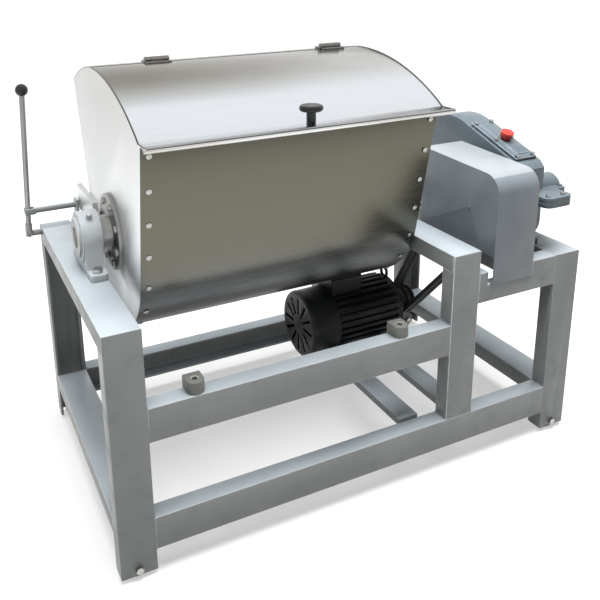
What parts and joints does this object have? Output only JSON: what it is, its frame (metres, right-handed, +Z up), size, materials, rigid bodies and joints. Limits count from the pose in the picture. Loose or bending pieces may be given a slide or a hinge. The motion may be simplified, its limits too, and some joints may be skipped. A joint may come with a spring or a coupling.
{
  "type": "tipping dough mixer",
  "caption": "Horizontal dough mixer with a stainless tipping tank, a hinged curved lid, a lock lever and a belt and gearbox drive on a silver channel frame.",
  "frame": {"origin": "on the floor, under the middle of the machine's bounding box", "axes": "+X along the mixing shaft towards the gearbox, +Y from the front lip of the lid to the back, +Z up"},
  "size_m": [1.309, 0.713, 1.0508],
  "materials": {
    "frame_paint": "satin silver grey paint",
    "bare_casting": "grey painted casting",
    "gearbox_paint": "blue grey enamel on a casting",
    "cover_paint": "darker grey enamel",
    "motor_paint": "semi gloss black enamel",
    "stainless_sheet": "brushed stainless",
    "polished_stainless": "bright polished stainless",
    "bright_fasteners": "zinc plated",
    "machined_steel": "machined",
    "black_plastic": "gloss black",
    "red_plastic": "gloss red",
    "wheel_nylon": "matte grey",
    "belt_rubber": "matte black"
  },
  "bodies": {
    "frame": {"axle_bolts": "bright_fasteners", "bearing_caps": "bare_casting", "belt_guard": "frame_paint", "breather_cap": "red_plastic", "centre_top_beam": "frame_paint", "front_bottom_rail": "frame_paint", "front_centre_post": "frame_paint", "front_left_post": "frame_paint", "front_middle_rail": "frame_paint", "front_right_post": "frame_paint", "front_upper_beam": "frame_paint", "gearbox_bolts": "bright_fasteners", "gearbox_lower_case": "gearbox_paint", "gearbox_support_bar": "frame_paint", "gearbox_upper_case": "gearbox_paint", "inspection_cover": "cover_paint", "left_bearing_block": "bare_casting", "left_top_beam": "frame_paint", "lever_stub": "frame_paint", "lock_guide": "frame_paint", "motor_bars": "frame_paint", "motor_fan_cover": "motor_paint", "motor_housing": "motor_paint", "mounting_bolts": "bright_fasteners", "rear_bottom_rail": "frame_paint", "rear_centre_post": "frame_paint", "rear_left_post": "frame_paint", "rear_right_post": "frame_paint", "rear_upper_beam": "frame_paint", "rest_lugs": "bare_casting", "right_bearing_block": "bare_casting", "right_top_beam": "frame_paint", "side_bottom_rails": "frame_paint", "terminal_box": "motor_paint", "v_belts": "belt_rubber"},
    "tank": {"tank_shell": "stainless_sheet", "left_end_plate": "stainless_sheet", "right_end_plate": "stainless_sheet", "trunnions": "machined_steel", "shell_bolts": "bright_fasteners", "tank_hinge_halves": "stainless_sheet"},
    "lid": {"lid_panel": "polished_stainless", "lid_knob": "black_plastic", "lid_hinge_halves": "stainless_sheet"},
    "agitator": {"mixing_shaft": "stainless_sheet", "mixing_frame": "stainless_sheet", "shaft_coupling": "bare_casting", "output_gear_shaft": "machined_steel"},
    "gear_shaft": {"intermediate_gear_shaft": "machined_steel"},
    "input": {"input_shaft": "machined_steel", "gearbox_pulley": "bare_casting"},
    "rotor": {"motor_shaft": "machined_steel", "motor_pulley": "bare_casting"},
    "lever": {"lever_rod": "machined_steel", "lever_ball": "black_plastic"},
    "lock": {"lock_bar": "frame_paint"},
    "wheel_fl": {"wheel_front_left": "wheel_nylon"},
    "wheel_fr": {"wheel_front_right": "wheel_nylon"},
    "wheel_rl": {"wheel_rear_left": "wheel_nylon"},
    "wheel_rr": {"wheel_rear_right": "wheel_nylon"}
  },
  "joints": [
    {"name": "tank_tilt", "type": "hinge", "parent": "frame", "child": "tank", "pos_m": [-0.4935, 0.0005, 0.662], "axis": [1, 0, 0], "range_deg": [0, 70]},
    {"name": "lid_open", "type": "hinge", "parent": "tank", "child": "lid", "pos_m": [-0.1405, 0.0805, 1.04433], "axis": [-1, 0, 0], "range_deg": [0, 105]},
    {"name": "agitator_spin", "type": "hinge", "parent": "frame", "child": "agitator", "pos_m": [0.3415, 0.0005, 0.662], "axis": [1, 0, 0], "continuous": true},
    {"name": "gear_shaft_spin", "type": "hinge", "parent": "frame", "child": "gear_shaft", "pos_m": [0.5045, -0.1295, 0.662], "axis": [1, 0, 0], "continuous": true},
    {"name": "input_spin", "type": "hinge", "parent": "frame", "child": "input", "pos_m": [0.3945, -0.2195, 0.662], "axis": [1, 0, 0], "continuous": true},
    {"name": "motor_spin", "type": "hinge", "parent": "frame", "child": "rotor", "pos_m": [0.3945, 0.0805, 0.252], "axis": [1, 0, 0], "continuous": true},
    {"name": "lever_swing", "type": "hinge", "parent": "frame", "child": "lever", "pos_m": [-0.6465, 0.3205, 0.574], "axis": [0, 1, 0], "range_deg": [-5, 14]},
    {"name": "lock_slide", "type": "slide", "parent": "frame", "child": "lock", "axis": [1, 0, 0], "range_m": [-0.00541, 0.01515]},
    {"name": "wheel_spin_fl", "type": "hinge", "parent": "frame", "child": "wheel_fl", "pos_m": [-0.5735, -0.3285, 0.025], "axis": [0, 1, 0], "continuous": true},
    {"name": "wheel_spin_fr", "type": "hinge", "parent": "frame", "child": "wheel_fr", "pos_m": [0.5965, -0.3285, 0.025], "axis": [0, 1, 0], "continuous": true},
    {"name": "wheel_spin_rl", "type": "hinge", "parent": "frame", "child": "wheel_rl", "pos_m": [-0.5735, 0.3295, 0.025], "axis": [0, 1, 0], "continuous": true},
    {"name": "wheel_spin_rr", "type": "hinge", "parent": "frame", "child": "wheel_rr", "pos_m": [0.5965, 0.3295, 0.025], "axis": [0, 1, 0], "continuous": true}
  ],
  "couplings": [
    {"joint": "gear_shaft_spin", "follows": "agitator_spin", "ratio": -4.2},
    {"joint": "input_spin", "follows": "agitator_spin", "ratio": 14.7},
    {"joint": "motor_spin", "follows": "agitator_spin", "ratio": 36.507},
    {"joint": "lock_slide", "follows": "lever_swing", "m_per_rad": 0.062}
  ]
}
